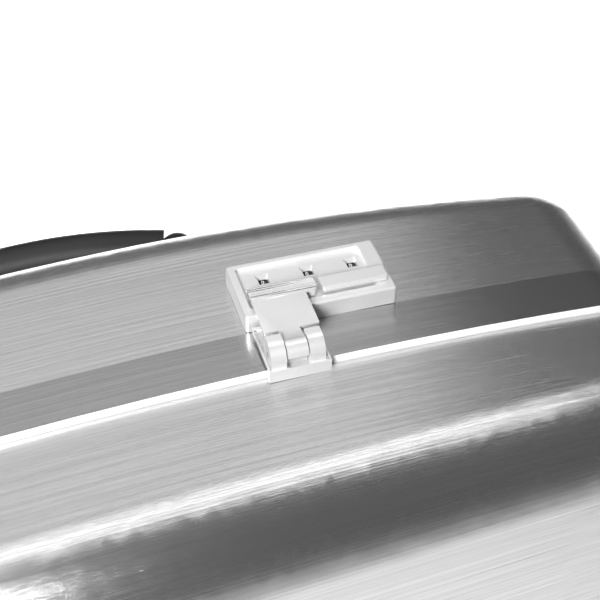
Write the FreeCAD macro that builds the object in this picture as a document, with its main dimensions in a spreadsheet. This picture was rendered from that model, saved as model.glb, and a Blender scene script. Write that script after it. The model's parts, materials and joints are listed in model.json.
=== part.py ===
"""Hard aluminium travel case with two combination latches: parametric source.

The case stands on its hinge side with the latches on top. X is the width, Y the
depth (front half at -Y, back half at +Y), Z is up. Every length is in mm.
Everything is drawn with y = 0 on the seam between the two halves; the latch
pieces are drawn in the frame of one latch (origin under the middle of the lock
housing) and then seated on the crowned top side. The last step moves each piece
by seam_y so that the finished assembly is centred on the origin.
"""
import FreeCAD
import Part
import Sketcher
import math
import os
import re

V = FreeCAD.Vector
doc = FreeCAD.newDocument("travel_case")

# ---------------------------------------------------------------- driving sizes
SIZES = {
    # the case body
    "case_width": 568,          # over the back shell
    "case_height": 380,         # back shell, bottom side to the top of the crown
    "foot_height": 10,          # floor to the bottom side of the back shell
    "back_depth": 118,          # seam to the middle of the back face
    "front_depth": 82,          # seam to the middle of the front face
    "crown_radius": 1750,       # the top side bulges along the width
    "back_face_radius": 3000,   # the back face bulges a little
    "front_face_radius": 2600,  # so does the front face
    "corner_radius": 42,
    "back_shoulder": 35,        # rounding between the back face and the sides
    "front_shoulder": 38,
    "wall": 1.6,
    "lining": 1.4,
    "seam_y": -44.27,           # where the seam ends up after centring
    # rim frames and seam
    "rim_band": 24.5,           # depth of the back rim frame
    "rim_rise": 1.2,            # the rim stands this proud of the shell at the seam
    "rim_spigot": 12,           # part of the frame inside the shell
    "seam_gap": 1.5,
    "front_step": 2,            # the front shell is smaller all round by this
    # latches
    "latch_offset": 125,        # case middle to lock housing middle
    "latch_seat": 41.5,         # seam to lock housing middle
    "lock_length": 68,
    "lock_width": 34,
    "lock_height": 8.6,
    "lock_floor": 6.9,          # height of the sunken panel
    "lock_roof": 5.3,           # underside of that panel
    "dial_pitch": 20.2,
    "dial_radius": 7.9,
    "dial_y": 10.9,
    "stud_radius": 2.45,
    "bar_top": 12.4,            # top of the lever's grip bar
    "slide_top": 11.2,          # top of the release slide
    "bar_low": 8.9,             # underside of both
    "slide_travel": 3,
    "hasp_left": -30,
    "hasp_right": -6.2,
    "hasp_front": -31.2,
    "hasp_thick": 1.3,
    "pivot_y": -39.5,
    "pivot_z": 7.7,
    "pivot_pin": 1.5,
    "knuckle_radius": 5.4,
    "keeper_front": -46.1,
    "ear_y": -38.2,
    "ear_z": 7.2,
    "ear_radius": 7,
    "ear_back": -35.3,
    # carrying handle on the back face
    "handle_drop": 68,          # top of the crown to the handle pivots
    "handle_stand": 9.5,         # back face to the handle pivots
    "handle_reach": 37.2,       # pivots to the middle of the grip
    "handle_half": 84,          # case middle to a pivot arm
    "grip_radius": 10.5,
    "grip_bow": 282,
    "handle_tilt": 29,          # the arms point this far above level
    "core_radius": 5,
    # hinges
    "hinge_offset": 130,
    "hinge_length": 52,
    "hinge_axis_y": -1.15,
    "hinge_axis_z": 5.2,
    "hinge_knuckle": 3,
}

sheet = doc.addObject("Spreadsheet::Sheet", "Sizes")
for row, (alias, size) in enumerate(SIZES.items(), start=1):
    sheet.set("A%d" % row, alias)
    sheet.set("B%d" % row, str(size))
    sheet.setAlias("B%d" % row, alias)
doc.recompute()


def full(expression):
    """Turn an expression in size names into one other objects can use."""
    def swap(match):
        word = match.group(0)
        return "Sizes." + word if word in SIZES else word
    return re.sub(r"[a-z_][a-z_0-9]*", swap, str(expression))


def val(expression):
    return float(sheet.evalExpression(str(expression)))


def bind(obj, prop, expression):
    obj.setExpression(prop, full(expression))


# ------------------------------------------------------------- small solid tools
def box(name, x0, x1, y0, y1, z0, z1):
    made = doc.addObject("Part::Box", name)
    bind(made, "Length", "(%s) - (%s)" % (x1, x0))
    bind(made, "Width", "(%s) - (%s)" % (y1, y0))
    bind(made, "Height", "(%s) - (%s)" % (z1, z0))
    made.Placement.Base = V(val(x0), val(y0), val(z0))
    return made


TURN = {
    "x": FreeCAD.Rotation(V(0, 1, 0), 90),
    "y": FreeCAD.Rotation(V(1, 0, 0), -90),
    "z": FreeCAD.Rotation(),
}


def rod(name, axis, x, y, z, radius, length):
    made = doc.addObject("Part::Cylinder", name)
    bind(made, "Radius", radius)
    bind(made, "Height", length)
    made.Placement = FreeCAD.Placement(V(val(x), val(y), val(z)), TURN[axis])
    return made


def ball(name, x, y, z, radius):
    made = doc.addObject("Part::Sphere", name)
    bind(made, "Radius", radius)
    made.Placement.Base = V(val(x), val(y), val(z))
    return made


def fuse(name, pieces):
    if len(pieces) == 1:
        return pieces[0]
    made = doc.addObject("Part::MultiFuse", name)
    made.Shapes = pieces
    made.Refine = True
    return made


def in_turn(kind, name, whole, pieces):
    """Join or cut pieces one after another (for round bars that meet)."""
    for i, piece in enumerate(pieces):
        made = doc.addObject("Part::" + kind, "%s_%d" % (name, i))
        made.Base = whole
        made.Tool = piece
        whole = made
    return whole


def cut(name, base, tools):
    made = doc.addObject("Part::Cut", name)
    made.Base = base
    made.Tool = fuse(name + "_tools", tools)
    made.Refine = True
    return made


def rounded(name, base, radius, pick):
    """Fillet the edges of base that pick(edge) accepts."""
    doc.recompute()
    made = doc.addObject("Part::Fillet", name)
    made.Base = base
    found = []
    for number, edge in enumerate(base.Shape.Edges, start=1):
        if pick(edge):
            found.append((number, radius, radius))
    made.Edges = found
    return made


def upright(edge):
    b = edge.BoundBox
    return b.XLength < 0.01 and b.YLength < 0.01


def level_at(height):
    def pick(edge):
        b = edge.BoundBox
        return abs(b.ZMin - height) < 0.01 and abs(b.ZMax - height) < 0.01
    return pick


# ------------------------------------------------------------------ sketch tools
def plane_of(body, role):
    for feature in body.Origin.OriginFeatures:
        if feature.Role == role:
            return feature
    raise RuntimeError("no plane " + role)


def new_sketch(body, name, role, offset=0.0):
    sketch = body.newObject("Sketcher::SketchObject", name)
    sketch.AttachmentSupport = [(plane_of(body, role), "")]
    sketch.MapMode = "FlatFace"
    sketch.AttachmentOffset = FreeCAD.Placement(V(0, 0, offset), FreeCAD.Rotation())
    return sketch


def rule(sketch, kind, args, expression):
    """Add one dimension and drive it from the sheet."""
    number = sketch.addConstraint(Sketcher.Constraint(kind, *args, val(expression)))
    bind(sketch, "Constraints[%d]" % number, expression)


def draw_polygon(sketch, points):
    """Closed outline; every corner is driven by two expressions."""
    flat = [V(val(x), val(y), 0) for x, y in points]
    count = len(flat)
    for i in range(count):
        sketch.addGeometry(Part.LineSegment(flat[i], flat[(i + 1) % count]), False)
    for i in range(count):
        sketch.addConstraint(
            Sketcher.Constraint("Coincident", i, 2, (i + 1) % count, 1))
    for i, (x, y) in enumerate(points):
        rule(sketch, "DistanceX", (-1, 1, i, 1), x)
        rule(sketch, "DistanceY", (-1, 1, i, 1), y)


def polygon_pad(name, role, points, start, length):
    """Outline on an origin plane, moved to start and padded along +X, +Y or +Z."""
    body = doc.addObject("PartDesign::Body", name)
    backwards = role == "XZ_Plane"
    offset = -val(start) if backwards else val(start)
    sketch = new_sketch(body, name + "_outline", role, offset)
    draw_polygon(sketch, points)
    pad = body.newObject("PartDesign::Pad", name + "_pad")
    pad.Profile = sketch
    bind(pad, "Length", length)
    pad.Reversed = backwards
    sketch.Visibility = False
    return body


def draw_case_outline(sketch, grow):
    """Outline of the case seen from the front, larger all round by grow.

    Bottom line, two sides, four rounded corners and the crowned top, all
    tangent to each other.
    """
    g = val(grow)
    half = val("case_width") / 2 + g
    low = val("foot_height") - g
    apex = val("foot_height + case_height") + g
    big = val("crown_radius") + g
    small = val("corner_radius") + g
    middle = apex - big
    corner_x = half - small
    corner_z = middle + math.sqrt((big - small) ** 2 - corner_x ** 2)
    lean = math.atan2(corner_x, corner_z - middle)
    touch = V(big * math.sin(lean), middle + big * math.cos(lean), 0)

    def arc(cx, cz, radius, begin, end):
        circle = Part.Circle(V(cx, cz, 0), V(0, 0, 1), radius)
        return Part.ArcOfCircle(circle, begin, end)

    quarter = math.pi / 2
    pieces = [
        Part.LineSegment(V(-corner_x, low, 0), V(corner_x, low, 0)),
        arc(corner_x, low + small, small, -quarter, 0),
        Part.LineSegment(V(half, low + small, 0), V(half, corner_z, 0)),
        arc(corner_x, corner_z, small, 0, quarter - lean),
        arc(0, middle, big, quarter - lean, quarter + lean),
        arc(-corner_x, corner_z, small, quarter + lean, math.pi),
        Part.LineSegment(V(-half, corner_z, 0), V(-half, low + small, 0)),
        arc(-corner_x, low + small, small, math.pi, math.pi + quarter),
    ]
    for piece in pieces:
        sketch.addGeometry(piece, False)
    for i in range(8):
        sketch.addConstraint(
            Sketcher.Constraint("Tangent", i, 2, (i + 1) % 8, 1))
    sketch.addConstraint(Sketcher.Constraint("Horizontal", 0))
    sketch.addConstraint(Sketcher.Constraint("Vertical", 2))
    sketch.addConstraint(Sketcher.Constraint("Vertical", 6))
    rule(sketch, "DistanceY", (-1, 1, 0, 1), "foot_height - (%s)" % grow)
    rule(sketch, "DistanceX", (-1, 1, 2, 1), "case_width / 2 + (%s)" % grow)
    rule(sketch, "DistanceX", (6, 1, -1, 1), "case_width / 2 + (%s)" % grow)
    rule(sketch, "Radius", (4,), "crown_radius + (%s)" % grow)
    for i in (1, 3, 5, 7):
        rule(sketch, "Radius", (i,), "corner_radius + (%s)" % grow)
    sketch.addConstraint(Sketcher.Constraint("PointOnObject", 4, 3, -2))
    rule(sketch, "DistanceY", (4, 3, -1, 1),
         "crown_radius - foot_height - case_height")


def ring_solid(name, grow, y0, y1):
    """Solid with the case outline from y0 to y1 (y0 below y1)."""
    body = doc.addObject("PartDesign::Body", name)
    sketch = new_sketch(body, name + "_outline", "XZ_Plane", -val(y0))
    draw_case_outline(sketch, grow)
    pad = body.newObject("PartDesign::Pad", name + "_pad")
    pad.Profile = sketch
    bind(pad, "Length", "(%s) - (%s)" % (y1, y0))
    pad.Reversed = True
    sketch.Visibility = False
    return body


def flared_solid(name, grow0, y0, grow1, y1):
    """Like ring_solid, but growing evenly from grow0 at y0 to grow1 at y1."""
    body = doc.addObject("PartDesign::Body", name)
    first = new_sketch(body, name + "_first", "XZ_Plane", -val(y0))
    draw_case_outline(first, grow0)
    last = new_sketch(body, name + "_last", "XZ_Plane", -val(y1))
    draw_case_outline(last, grow1)
    loft = body.newObject("PartDesign::AdditiveLoft", name + "_loft")
    loft.Profile = first
    loft.Sections = [last]
    loft.Ruled = True
    return body


def pan_solid(name, grow, start, depth, face_radius, shoulder, side):
    """One half of the case as a solid: crowned face and rounded shoulder.

    side is +1 for the back half and -1 for the front half; start and depth are
    distances from the seam.
    """
    body = doc.addObject("PartDesign::Body", name)
    sketch = new_sketch(body, name + "_outline", "XZ_Plane", -side * val(start))
    draw_case_outline(sketch, grow)
    pad = body.newObject("PartDesign::Pad", name + "_pad")
    pad.Profile = sketch
    bind(pad, "Length", "(%s) - (%s)" % (depth, start))
    pad.Reversed = side > 0
    sketch.Visibility = False
    doc.recompute()

    # cut the flat end to a shallow arc
    radius = val(face_radius)
    reach = val("case_width / 2 + 5")
    edge_y = val(depth) - radius + math.sqrt(radius ** 2 - reach ** 2)
    clear_y = val(depth) + 20
    crown = new_sketch(body, name + "_crown", "XY_Plane")
    turn = math.atan2(edge_y - val(depth) + radius, reach)
    if side > 0:
        circle = Part.Circle(V(0, val(depth) - radius, 0), V(0, 0, 1), radius)
        bow = Part.ArcOfCircle(circle, turn, math.pi - turn)
        right, left = V(reach, edge_y, 0), V(-reach, edge_y, 0)
        far_right, far_left = V(reach, clear_y, 0), V(-reach, clear_y, 0)
        crown.addGeometry(bow, False)
        crown.addGeometry(Part.LineSegment(left, far_left), False)
        crown.addGeometry(Part.LineSegment(far_left, far_right), False)
        crown.addGeometry(Part.LineSegment(far_right, right), False)
    else:
        circle = Part.Circle(V(0, radius - val(depth), 0), V(0, 0, 1), radius)
        bow = Part.ArcOfCircle(circle, math.pi + turn, 2 * math.pi - turn)
        right, left = V(reach, -edge_y, 0), V(-reach, -edge_y, 0)
        far_right, far_left = V(reach, -clear_y, 0), V(-reach, -clear_y, 0)
        crown.addGeometry(bow, False)
        crown.addGeometry(Part.LineSegment(right, far_right), False)
        crown.addGeometry(Part.LineSegment(far_right, far_left), False)
        crown.addGeometry(Part.LineSegment(far_left, left), False)
    for i in range(3):
        crown.addConstraint(Sketcher.Constraint("Coincident", i, 2, i + 1, 1))
    crown.addConstraint(Sketcher.Constraint("Coincident", 3, 2, 0, 1))
    crown.addConstraint(Sketcher.Constraint("Vertical", 1))
    crown.addConstraint(Sketcher.Constraint("Horizontal", 2))
    crown.addConstraint(Sketcher.Constraint("Vertical", 3))
    crown.addConstraint(Sketcher.Constraint("PointOnObject", 0, 3, -2))
    rule(crown, "Radius", (0,), face_radius)
    if side > 0:
        rule(crown, "DistanceY", (0, 3, -1, 1), "(%s) - (%s)" % (face_radius, depth))
        rule(crown, "DistanceY", (-1, 1, 2, 1), "(%s) + 20" % depth)
    else:
        rule(crown, "DistanceY", (-1, 1, 0, 3), "(%s) - (%s)" % (face_radius, depth))
        rule(crown, "DistanceY", (2, 1, -1, 1), "(%s) + 20" % depth)
    rule(crown, "DistanceX", (-1, 1, 1 if side < 0 else 3, 1), "case_width / 2 + 5")
    rule(crown, "DistanceX", (3 if side < 0 else 1, 2, -1, 1), "case_width / 2 + 5")
    pocket = body.newObject("PartDesign::Pocket", name + "_crown_cut")
    pocket.Profile = crown
    pocket.Length = 1000
    pocket.Reversed = True
    crown.Visibility = False
    doc.recompute()

    # round the edge between the crowned face and the sides
    edges = []
    limit = val(start) + 0.5 * (val(depth) - val(start))
    for number, edge in enumerate(pocket.Shape.Edges, start=1):
        b = edge.BoundBox
        near_face = min(side * b.YMin, side * b.YMax) > limit
        if near_face:
            edges.append("Edge%d" % number)
    fillet = body.newObject("PartDesign::Fillet", name + "_shoulder")
    fillet.Base = (pocket, edges)
    bind(fillet, "Radius", "(%s) + (%s)" % (shoulder, grow))
    return body


# ------------------------------------------------------------- placing and names
KEPT = []
SHIFT = FreeCAD.Placement(V(0, val("seam_y"), 0), FreeCAD.Rotation())


def keep(label, obj, where=None):
    """Name a finished sub-part and move it to its place in the assembly."""
    obj.Label = label
    seat = SHIFT if where is None else SHIFT.multiply(where)
    obj.Placement = seat.multiply(obj.Placement)
    KEPT.append(obj)
    return obj


TOP = val("foot_height + case_height")
LEAN = math.degrees(math.asin(val("latch_offset / crown_radius")))
LATCH_Z = TOP - val("crown_radius") * (1 - math.cos(math.radians(LEAN)))


def latch_seat(side):
    return FreeCAD.Placement(V(side * val("latch_offset"), val("latch_seat"), LATCH_Z),
                             FreeCAD.Rotation(V(0, 1, 0), side * LEAN))


SIDES = (("left", -1), ("right", 1))

# ----------------------------------------------------------------- shared points
SCREW_X = (-26, 26)
SCREW_Y = -14.4
RIVET_X = (-27.5, -11)
RIVET_Y = -44.6
FOOT_X = 205
BACK_FOOT_Y = 50
FRONT_FOOT_Y = -24
BRACKET_SCREW_Z = 11


def placed(obj, where):
    obj.Placement = where.multiply(obj.Placement)
    return obj


def latch_drills(name, points, radius):
    """Round cutters through the top side at points given in the latch frame."""
    made = []
    for word, side in SIDES:
        for i, (x, y) in enumerate(points):
            drill = rod("%s_%s_%d" % (name, word, i), "z", x, y, -25, radius, 30)
            made.append(placed(drill, latch_seat(side)))
    return made


# -------------------------------------------------------------------- back half
BACK_START = "rim_band"
outer = pan_solid("back_outer", "0", BACK_START, "back_depth", "back_face_radius",
                  "back_shoulder", 1)
inner = pan_solid("back_inner", "-wall", "rim_band - 1", "back_depth - wall",
                  "back_face_radius - wall", "back_shoulder", 1)
drills = latch_drills("back_hole", [(x, SCREW_Y) for x in SCREW_X], 1.3)
for word, side in SIDES:
    drills.append(rod("back_foot_hole_" + word, "z", side * FOOT_X, BACK_FOOT_Y,
                      "foot_height - 5", 3, 12))
    for i, dz in enumerate((-BRACKET_SCREW_Z, BRACKET_SCREW_Z)):
        drills.append(rod("bracket_hole_%s_%d" % (word, i), "y",
                          side * val("handle_half"), "back_depth - 12",
                          TOP - val("handle_drop") + dz, 1.8, 20))
keep("back_shell", cut("back_shell_cut", outer, [inner] + drills))

frame_out = flared_solid("frame_flare", "rim_rise", "0", "0", "rim_band")
frame_spigot = ring_solid("frame_spigot", "-wall", "rim_band", "rim_band + rim_spigot")
mouth = ring_solid("frame_mouth", "-5", "-2", "7")
ledge = ring_solid("frame_ledge", "-9", "6", "11")
inside = ring_solid("frame_inside", "-5", "10", "rim_band + rim_spigot + 2")
frame_drills = latch_drills("frame_hole", [(x, SCREW_Y) for x in SCREW_X], 1.3)
frame_body = fuse("frame_body", [frame_out, frame_spigot])
keep("back_rim_frame", cut("back_frame_cut", frame_body,
                           [mouth, ledge, inside] + frame_drills))

gasket_out = ring_solid("gasket_out", "-5", "4.6", "7")
gasket_in = ring_solid("gasket_in", "-8.8", "4", "8")
keep("rim_gasket", cut("gasket_cut", gasket_out, [gasket_in]))

LINER_START = "rim_band + rim_spigot + 0.5"
liner_out = pan_solid("back_liner_out", "-wall", LINER_START, "back_depth - wall",
                      "back_face_radius - wall", "back_shoulder", 1)
liner_in = pan_solid("back_liner_in", "-wall - lining", "rim_band + rim_spigot",
                     "back_depth - wall - lining",
                     "back_face_radius - wall - lining", "back_shoulder", 1)
liner_reliefs = []
for word, side in SIDES:
    liner_reliefs.append(rod("liner_foot_relief_" + word, "z", side * FOOT_X,
                             BACK_FOOT_Y, "foot_height - 5", 6.2, 12))
    for i, dz in enumerate((-BRACKET_SCREW_Z, BRACKET_SCREW_Z)):
        liner_reliefs.append(rod("liner_screw_relief_%s_%d" % (word, i), "y",
                                 side * val("handle_half"), "back_depth - 15",
                                 TOP - val("handle_drop") + dz, 4.2, 20))
keep("back_lining", cut("back_lining_cut", liner_out, [liner_in] + liner_reliefs))

# ------------------------------------------------------------------- front half
outer = pan_solid("front_outer", "-front_step", "seam_gap", "front_depth",
                  "front_face_radius", "front_shoulder", -1)
inner = pan_solid("front_inner", "-front_step - wall", "seam_gap - 1",
                  "front_depth - wall", "front_face_radius - wall",
                  "front_shoulder", -1)
drills = latch_drills("front_hole", [(x, RIVET_Y) for x in RIVET_X], 0.9)
for word, side in SIDES:
    drills.append(rod("front_foot_hole_" + word, "z", side * FOOT_X, FRONT_FOOT_Y,
                      "foot_height - 5", 3, 14))
keep("front_shell", cut("front_shell_cut", outer, [inner] + drills))

front_ring = ring_solid("front_ring", "-front_step - wall", "-14", "-seam_gap")
front_tongue = ring_solid("front_tongue", "-6", "-seam_gap - 1", "4.3")
front_bore = ring_solid("front_bore", "-8.2", "-20", "8")
frame_drills = latch_drills("front_frame_hole", [(x, RIVET_Y) for x in RIVET_X], 0.9)
keep("front_rim_frame", cut("front_frame_cut", fuse("front_frame_body",
                                                    [front_ring, front_tongue]),
                            [front_bore] + frame_drills))

liner_out = pan_solid("front_liner_out", "-front_step - wall", "14.5",
                      "front_depth - wall", "front_face_radius - wall",
                  "front_shoulder", -1)
liner_in = pan_solid("front_liner_in", "-front_step - wall - lining", "14",
                     "front_depth - wall - lining",
                     "front_face_radius - wall - lining", "front_shoulder", -1)
liner_reliefs = []
for word, side in SIDES:
    liner_reliefs.append(rod("front_liner_relief_" + word, "z", side * FOOT_X,
                             FRONT_FOOT_Y, "foot_height - 5", 6.2, 15))
keep("front_lining", cut("front_lining_cut", liner_out, [liner_in] + liner_reliefs))

# ------------------------------------------------------------------------- feet
for word, side in SIDES:
    for half, y, height in (("back", BACK_FOOT_Y, "foot_height"),
                            ("front", FRONT_FOOT_Y, "foot_height + front_step")):
        name = "%s_foot_%s" % (half, word)
        pad = rod(name + "_pad", "z", side * FOOT_X, y, 0, 9, height)
        pad = rounded(name + "_soft", pad, 1.5, level_at(0))
        stem = rod(name + "_stem", "z", side * FOOT_X, y, 3, 3, "(%s) - 1" % height)
        head = rod(name + "_head", "z", side * FOOT_X, y, "(%s) + wall" % height,
                   5.5, 1.2)
        keep(name, fuse(name + "_whole", [pad, stem, head]))

# ----------------------------------------------------------------------- hinges
AXIS_Y = "hinge_axis_y"
AXIS_Z = "hinge_axis_z"
THIRD = "hinge_length / 3"
for word, side in SIDES:
    x0 = side * val("hinge_offset") - val("hinge_length") / 2
    third = val(THIRD)
    top = "foot_height - rim_rise - 0.05"
    leaf = polygon_pad("back_leaf_plate_" + word, "YZ_Plane", [
        ("2.2", top),
        ("21", "foot_height - rim_rise * 3.5 / 24.5 - 0.05"),
        ("21", "foot_height - rim_rise * 3.5 / 24.5 - 1.55"),
        ("2.2", "foot_height - rim_rise - 1.8"),
    ], x0, "hinge_length")
    arm_a = polygon_pad("back_leaf_arm_a_" + word, "YZ_Plane", [
        ("4", "foot_height - rim_rise - 0.05"),
        ("4", "foot_height - rim_rise - 1.7"),
        (AXIS_Y + " + 1", AXIS_Z + " - hinge_knuckle + 0.2"),
        (AXIS_Y + " + 1", AXIS_Z + " + hinge_knuckle - 0.2"),
        ("2.2", "foot_height - rim_rise - 0.05"),
    ], x0, THIRD)
    arm_b = polygon_pad("back_leaf_arm_b_" + word, "YZ_Plane", [
        ("4", "foot_height - rim_rise - 0.05"),
        ("4", "foot_height - rim_rise - 1.7"),
        (AXIS_Y + " + 1", AXIS_Z + " - hinge_knuckle + 0.2"),
        (AXIS_Y + " + 1", AXIS_Z + " + hinge_knuckle - 0.2"),
        ("2.2", "foot_height - rim_rise - 0.05"),
    ], x0 + 2 * third, THIRD)
    barrel_a = rod("back_barrel_a_" + word, "x", x0, AXIS_Y, AXIS_Z,
                   "hinge_knuckle", THIRD)
    barrel_b = rod("back_barrel_b_" + word, "x", x0 + 2 * third, AXIS_Y, AXIS_Z,
                   "hinge_knuckle", THIRD)
    middle_gap = box("back_leaf_gap_" + word, x0 + third - 0.01,
                     x0 + 2 * third + 0.01, -5, 3.6, 0, 9)
    bore = rod("back_leaf_bore_" + word, "x", x0 - 1, AXIS_Y, AXIS_Z, 1.5,
               "hinge_length + 2")
    whole = fuse("back_leaf_whole_" + word, [leaf, arm_a, arm_b, barrel_a, barrel_b])
    keep("hinge_leaf_back_" + word, cut("back_leaf_cut_" + word, whole,
                                        [middle_gap, bore]))

    low = "foot_height + front_step - 0.05"
    start = x0 + third + 0.3
    width = "hinge_length / 3 - 0.6"
    plate = polygon_pad("front_leaf_plate_" + word, "YZ_Plane", [
        ("-21", low),
        ("-21", "foot_height + front_step - 1.65"),
        ("-5", "foot_height + front_step - 1.65"),
        ("-5", low),
    ], x0, "hinge_length")
    arm = polygon_pad("front_leaf_arm_" + word, "YZ_Plane", [
        ("-6", low),
        ("-6", "foot_height + front_step - 1.65"),
        (AXIS_Y + " - 2.7", AXIS_Z),
        (AXIS_Y, AXIS_Z + " - 1.8"),
        (AXIS_Y + " + 0.2", AXIS_Z + " + 2.4"),
        (AXIS_Y + " - 1.6", "foot_height - rim_rise"),
        ("-3.2", low),
    ], start, width)
    barrel = rod("front_barrel_" + word, "x", start, AXIS_Y, AXIS_Z,
                 "hinge_knuckle", width)
    bore = rod("front_leaf_bore_" + word, "x", x0 - 1, AXIS_Y, AXIS_Z, 1.55,
               "hinge_length + 2")
    whole = fuse("front_leaf_whole_" + word, [plate, arm, barrel])
    keep("hinge_leaf_front_" + word, cut("front_leaf_cut_" + word, whole, [bore]))

    pin = rod("hinge_pin_rod_" + word, "x", x0, AXIS_Y, AXIS_Z, 1.5, "hinge_length")
    keep("hinge_pin_" + word, pin)


# ---------------------------------------------------------------------- latches
def lock_housing(tag):
    half_x = "lock_length / 2"
    half_y = "lock_width / 2"
    block = box("housing_block_" + tag, "-" + half_x, half_x, "-" + half_y, half_y,
                0, "lock_height")
    block = rounded("housing_corners_" + tag, block, 1.6, upright)
    block = rounded("housing_rim_" + tag, block, 0.9, level_at(val("lock_height")))
    panel = box("housing_panel_" + tag, -30.5, 26.5, -12.7, 14.5, "lock_floor", 20)
    panel = rounded("housing_panel_soft_" + tag, panel, 2, upright)
    cavity = box("housing_cavity_" + tag, -31.2, 31.2, -11.6, 14.7, -1, "lock_roof")
    tools = [panel, cavity]
    for i in (-1, 0, 1):
        x = "%d * dial_pitch + 0.4" % i
        name = "%s_%d" % (tag, i + 1)
        tools.append(rod("dial_room_" + name, "z", x, "dial_y", 1,
                         "dial_radius + 0.35", "lock_roof - 1"))
        tools.append(box("window_" + name, x + " - 2.3", x + " + 2.3", 3.2, 7.6, 3, 9))
        scoop = polygon_pad("scoop_" + name, "YZ_Plane", [
            ("7.5", "lock_roof"),
            ("9.6", "lock_floor + 0.02"),
            ("9.6", "lock_floor + 1"),
            ("7.5", "lock_floor + 1"),
        ], x + " - 2.8", "5.6")
        tools.append(scoop)
    tools.append(box("hook_hole_" + tag, -19, -8, -11.4, -4.6, 3, 9))
    tools.append(box("stem_hole_" + tag, 8, 18.5, -8.9, -5.1, 3, 9))
    for i, x in enumerate(SCREW_X):
        tools.append(rod("housing_screw_%s_%d" % (tag, i), "z", x, SCREW_Y, -1, 1.3, 7))
    return cut("housing_" + tag, block, tools)


def lock_base(tag):
    plate = box("base_plate_" + tag, -31.1, 31.1, -11.5, 14.6, 0.05, 1)
    pieces = [plate]
    for i in (-1, 0, 1):
        x = "%d * dial_pitch + 0.4" % i
        name = "%s_%d" % (tag, i + 1)
        pieces.append(rod("stud_" + name, "z", x, "dial_y", 0.5, "stud_radius", 4.6))
        pieces.append(rod("stud_step_" + name, "z", x, "dial_y", 0.5, 3.6, 0.7))
    return fuse("base_" + tag, pieces)


def dial(tag, i):
    """Flat number wheel with a knurled edge that shows behind the housing."""
    body = doc.addObject("PartDesign::Body", "dial_" + tag)
    sketch = new_sketch(body, "dial_round_" + tag, "XY_Plane", 1.3)
    circle = Part.Circle(V(0, 0, 0), V(0, 0, 1), val("dial_radius"))
    hole = Part.Circle(V(0, 0, 0), V(0, 0, 1), val("stud_radius + 0.05"))
    sketch.addGeometry(circle, False)
    sketch.addGeometry(hole, False)
    sketch.addConstraint(Sketcher.Constraint("Coincident", 0, 3, -1, 1))
    sketch.addConstraint(Sketcher.Constraint("Coincident", 1, 3, -1, 1))
    rule(sketch, "Radius", (0,), "dial_radius")
    rule(sketch, "Radius", (1,), "stud_radius + 0.05")
    pad = body.newObject("PartDesign::Pad", "dial_pad_" + tag)
    pad.Profile = sketch
    pad.Length = 3.6
    notch = new_sketch(body, "dial_notch_" + tag, "XY_Plane", 0)
    notch.addGeometry(Part.Circle(V(val("dial_radius") + 0.25, 0, 0), V(0, 0, 1), 0.6),
                      False)
    notch.addConstraint(Sketcher.Constraint("PointOnObject", 0, 3, -1))
    rule(notch, "Radius", (0,), "0.6")
    rule(notch, "DistanceX", (-1, 1, 0, 3), "dial_radius + 0.25")
    doc.recompute()
    pocket = body.newObject("PartDesign::Pocket", "dial_notch_cut_" + tag)
    pocket.Profile = notch
    pocket.Length = 10
    pocket.Reversed = True
    doc.recompute()
    pattern = body.newObject("PartDesign::PolarPattern", "dial_knurl_" + tag)
    pattern.Originals = [pocket]
    pattern.Axis = (notch, ["N_Axis"])
    pattern.Angle = 360
    pattern.Occurrences = 26
    body.Tip = pattern
    x = val("%d * dial_pitch + 0.4" % i)
    body.Placement.Base = V(x, val("dial_y"), 0)
    return body


def release_slide(tag):
    """Smooth bar on the right with a stem down through the housing."""
    bar = polygon_pad("slide_bar_" + tag, "YZ_Plane", [
        ("-11.4", "bar_low"),
        ("-3.2", "bar_low"),
        ("-3.2", "slide_top - 0.5"),
        ("-3.7", "slide_top"),
        ("-10.7", "slide_top"),
        ("-11.4", "slide_top - 0.7"),
    ], "2", "29.5")
    bar = rounded("slide_bar_soft_" + tag, bar, 1.2, lambda e: (
        e.BoundBox.XLength < 0.01 and e.BoundBox.YLength < 0.01
        and e.BoundBox.YMax < -11))
    stem = box("slide_stem_" + tag, 9, 14.5, -8.4, -5.6, "lock_roof - 0.6", 9.4)
    return fuse("slide_" + tag, [bar, stem])


def lock_bolt(tag):
    """Bar under the panel; its tongue holds the hook of the hasp."""
    bar = box("bolt_bar_" + tag, -6.5, 16, -9.4, -4.9, 2.4, "lock_roof - 0.6")
    tongue = box("bolt_tongue_" + tag, -12.5, -6, -8.9, -6.1, 2.6, 4.8)
    seat = rod("bolt_seat_" + tag, "x", 16, -7.15, 3.6, 0.85, 2)
    return fuse("bolt_" + tag, [bar, tongue, seat])


def slide_spring(tag):
    helix = doc.addObject("Part::Helix", "spring_path_" + tag)
    helix.Pitch = 2.1
    helix.Height = 14.6
    helix.Radius = 1.25
    wire = doc.addObject("Part::Circle", "spring_wire_" + tag)
    wire.Radius = 0.3
    wire.Placement = FreeCAD.Placement(V(1.25, 0, 0), FreeCAD.Rotation(V(1, 0, 0), 90))
    sweep = doc.addObject("Part::Sweep", "spring_" + tag)
    sweep.Sections = [wire]
    sweep.Spine = (helix, ["Edge1"])
    sweep.Solid = True
    sweep.Frenet = True
    sweep.Placement = FreeCAD.Placement(V(16.35, -7.15, 3.6), TURN["x"])
    return sweep


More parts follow.
